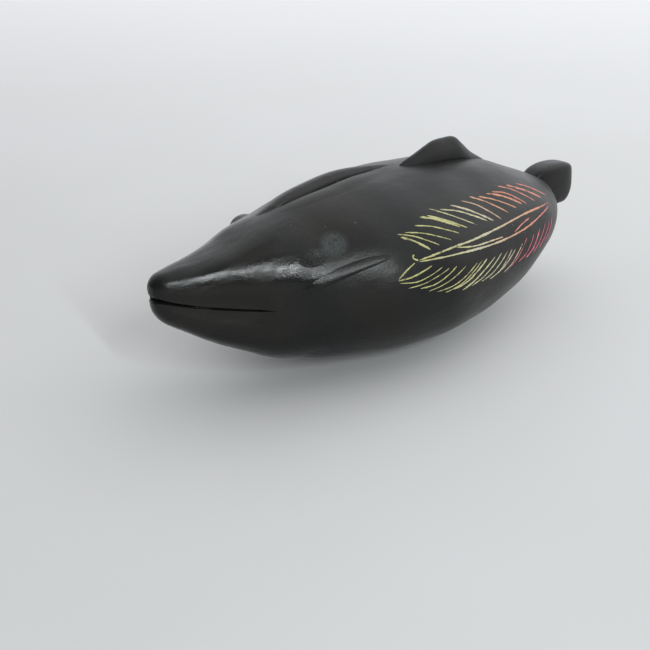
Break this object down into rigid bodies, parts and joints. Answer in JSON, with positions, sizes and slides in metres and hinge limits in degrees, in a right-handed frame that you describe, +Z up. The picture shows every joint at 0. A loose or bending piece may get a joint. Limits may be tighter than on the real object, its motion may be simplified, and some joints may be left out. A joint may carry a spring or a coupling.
{
  "type": "guiro",
  "caption": "Small hollow fish-shaped clay instrument with a slot along the back, a slit mouth, a back fin, an upturned tail and barbed scratch rows on its flanks.",
  "frame": {"origin": "on the table, under the middle of the overall box", "axes": "+X towards the tail, -X towards the beak, +Y the fish's right flank, +Z up"},
  "size_m": [0.088, 0.0388, 0.0305],
  "materials": {
    "burnished_clay": "burnished to a soft sheen",
    "yellow_pigment": "chalky, rubbed into scratches",
    "white_pigment": "chalky, rubbed into scratches",
    "red_pigment": "chalky, rubbed into scratches"
  },
  "bodies": {
    "root": {"back_shell": "burnished_clay", "belly_shell": "burnished_clay", "left_slot_lip": "burnished_clay", "right_slot_lip": "burnished_clay", "dorsal_fin": "burnished_clay", "tail_fin": "burnished_clay", "left_eye": "burnished_clay", "left_pectoral_fin": "burnished_clay", "right_eye": "burnished_clay", "right_pectoral_fin": "burnished_clay", "left_yellow_strokes": "yellow_pigment", "left_white_strokes": "white_pigment", "left_red_strokes": "red_pigment", "right_yellow_strokes": "yellow_pigment", "right_white_strokes": "white_pigment", "right_red_strokes": "red_pigment"}
  },
  "joints": []
}
